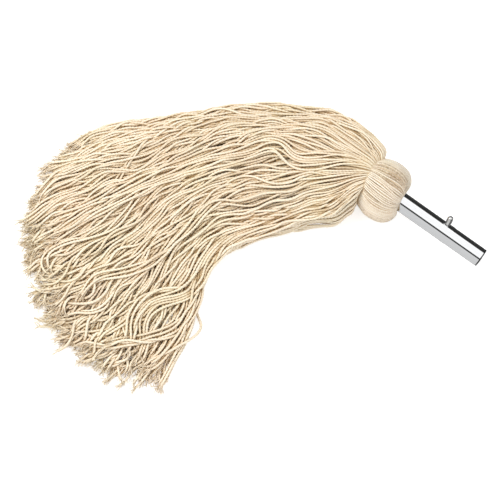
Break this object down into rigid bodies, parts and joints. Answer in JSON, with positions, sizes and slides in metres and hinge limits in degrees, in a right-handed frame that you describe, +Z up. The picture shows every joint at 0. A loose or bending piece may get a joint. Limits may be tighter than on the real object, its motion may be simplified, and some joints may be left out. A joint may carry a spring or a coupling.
{
  "type": "string mop head",
  "caption": "Cotton string mop head with a folded-over yarn ball and a polished tube that snaps into a pole with a spring button.",
  "frame": {"origin": "on the floor, under the middle of the whole head as it lies", "axes": "+Z up; +X is the way the adapter tube points in plan, which is also the longest extent; the yarn skirt trails towards -X and -Y"},
  "size_m": [0.4788, 0.4238, 0.0694],
  "materials": {
    "tube_metal": "mirror polished, with faint lengthwise draw lines",
    "button_metal": "bright, lightly worn on the dome",
    "spring_steel": "dull spring steel",
    "plug_wood": "bare turned hardwood",
    "pin_steel": "bright steel",
    "tie_wire": "galvanised",
    "yarn": "soft unbleached cotton yarn, twisted",
    "ball_yarn": "soft unbleached cotton yarn, pulled tight",
    "twine_cotton": "hard-laid cotton twine"
  },
  "bodies": {
    "mop_head": {"adapter_tube": "tube_metal", "button_spring": "spring_steel", "core_plug": "plug_wood", "cross_pin": "pin_steel", "yarn_core": "ball_yarn", "wire_tie": "tie_wire", "fold_over_ball": "ball_yarn", "neck_bundle": "ball_yarn", "neck_twine": "twine_cotton", "twine_knot": "twine_cotton", "yarn_lock_low_01": "yarn", "yarn_lock_low_02": "yarn", "yarn_lock_low_03": "yarn", "yarn_lock_low_04": "yarn", "yarn_lock_low_05": "yarn", "yarn_lock_low_06": "yarn", "yarn_lock_low_07": "yarn", "yarn_lock_low_08": "yarn", "yarn_lock_low_09": "yarn", "yarn_lock_low_10": "yarn", "yarn_lock_low_11": "yarn", "yarn_lock_low_12": "yarn", "yarn_lock_mid_01": "yarn", "yarn_lock_mid_02": "yarn", "yarn_lock_mid_03": "yarn", "yarn_lock_mid_04": "yarn", "yarn_lock_mid_05": "yarn", "yarn_lock_mid_06": "yarn", "yarn_lock_mid_07": "yarn", "yarn_lock_mid_08": "yarn", "yarn_lock_mid_09": "yarn", "yarn_lock_mid_10": "yarn", "yarn_lock_mid_11": "yarn", "yarn_lock_mid_12": "yarn", "yarn_lock_top_01": "yarn", "yarn_lock_top_02": "yarn", "yarn_lock_top_03": "yarn", "yarn_lock_top_04": "yarn", "yarn_lock_top_05": "yarn", "yarn_lock_top_06": "yarn", "yarn_lock_top_07": "yarn", "yarn_lock_top_08": "yarn", "yarn_lock_top_09": "yarn", "yarn_lock_top_10": "yarn", "yarn_lock_top_11": "yarn", "yarn_lock_top_12": "yarn"},
    "button": {"snap_button": "button_metal"}
  },
  "joints": [
    {"name": "button_press", "type": "slide", "parent": "mop_head", "child": "button", "axis": [-0.0139, -0.6246, -0.7808], "range_m": [0, 0.0105], "stiffness_N_per_m": 1500, "springref_m": -0.003, "deforming": ["button_spring"]}
  ]
}
